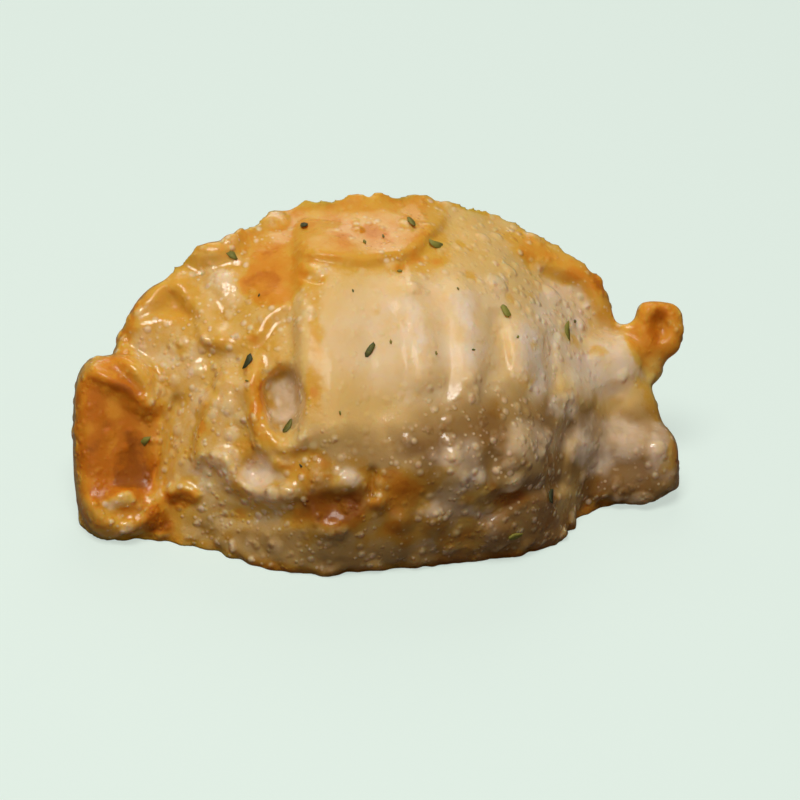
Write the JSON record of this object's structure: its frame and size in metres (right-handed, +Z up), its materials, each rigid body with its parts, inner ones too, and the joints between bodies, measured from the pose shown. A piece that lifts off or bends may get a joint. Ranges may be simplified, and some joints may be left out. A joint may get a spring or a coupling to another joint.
{
  "type": "pork gyoza",
  "caption": "Pan-fried half-moon dumpling with a crimped crest, folded ends and a side pocket, resting on its flat base and sprinkled with dried herb.",
  "frame": {"origin": "middle of the bounding box at its lowest level, on the surface that the dumpling rests on", "axes": "+X along the dumpling from the folded browned end to the curled tip, +Y from the bulging front to the back, +Z up; the crest leans back towards +Y"},
  "size_m": [0.0798, 0.0378, 0.0341],
  "materials": {
    "fried_dough": "oily fried wheat dough, cream with golden brown edges and small blisters",
    "dried_herb": "dry green herb flakes"
  },
  "bodies": {
    "root": {"gyoza": "fried_dough"}
  },
  "joints": []
}
